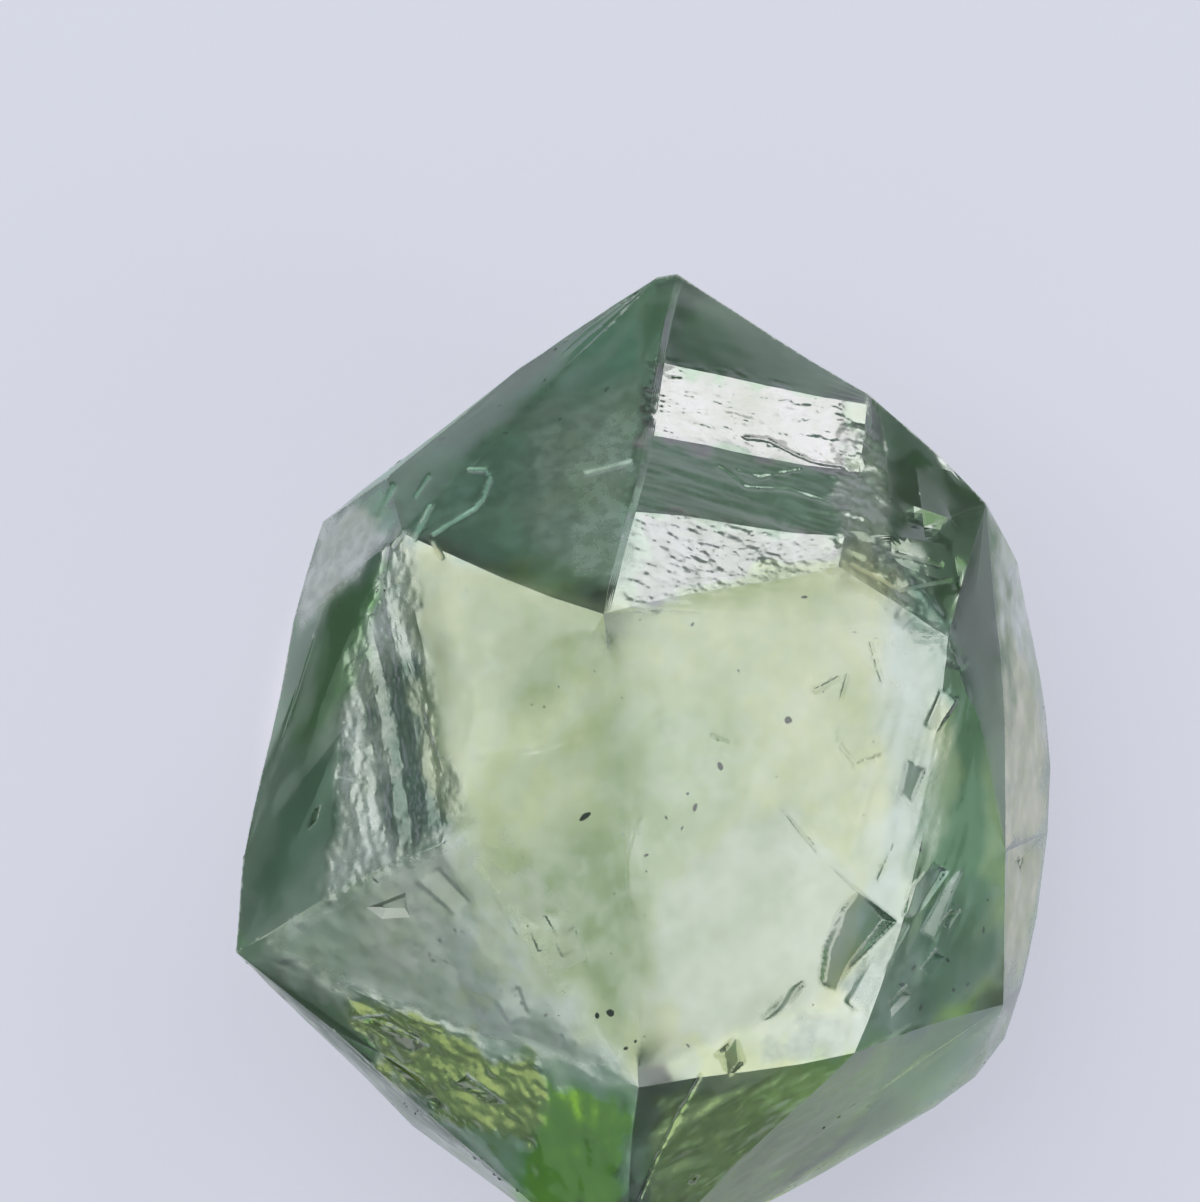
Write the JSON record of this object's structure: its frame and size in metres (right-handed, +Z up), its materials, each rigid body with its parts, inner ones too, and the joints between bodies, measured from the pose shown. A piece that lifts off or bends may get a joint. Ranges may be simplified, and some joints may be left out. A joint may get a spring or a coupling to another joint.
{
  "type": "rough diamond",
  "caption": "Natural uncut diamond crystal: a rounded, pale green dodecahedroid with bent faces, terraces, grooves and a flat face to rest on.",
  "frame": {"origin": "on the resting face, under the middle of the crystal's outline", "axes": "+Z up out of the resting face, +Y along the crystal's long axis to its sharper tip, +X across it"},
  "size_m": [0.0058, 0.007, 0.0044],
  "materials": {
    "diamond": "clear pale green diamond with glossy, lightly etched growth faces, index 2.417"
  },
  "bodies": {
    "root": {"rough_diamond": "diamond"}
  },
  "joints": []
}
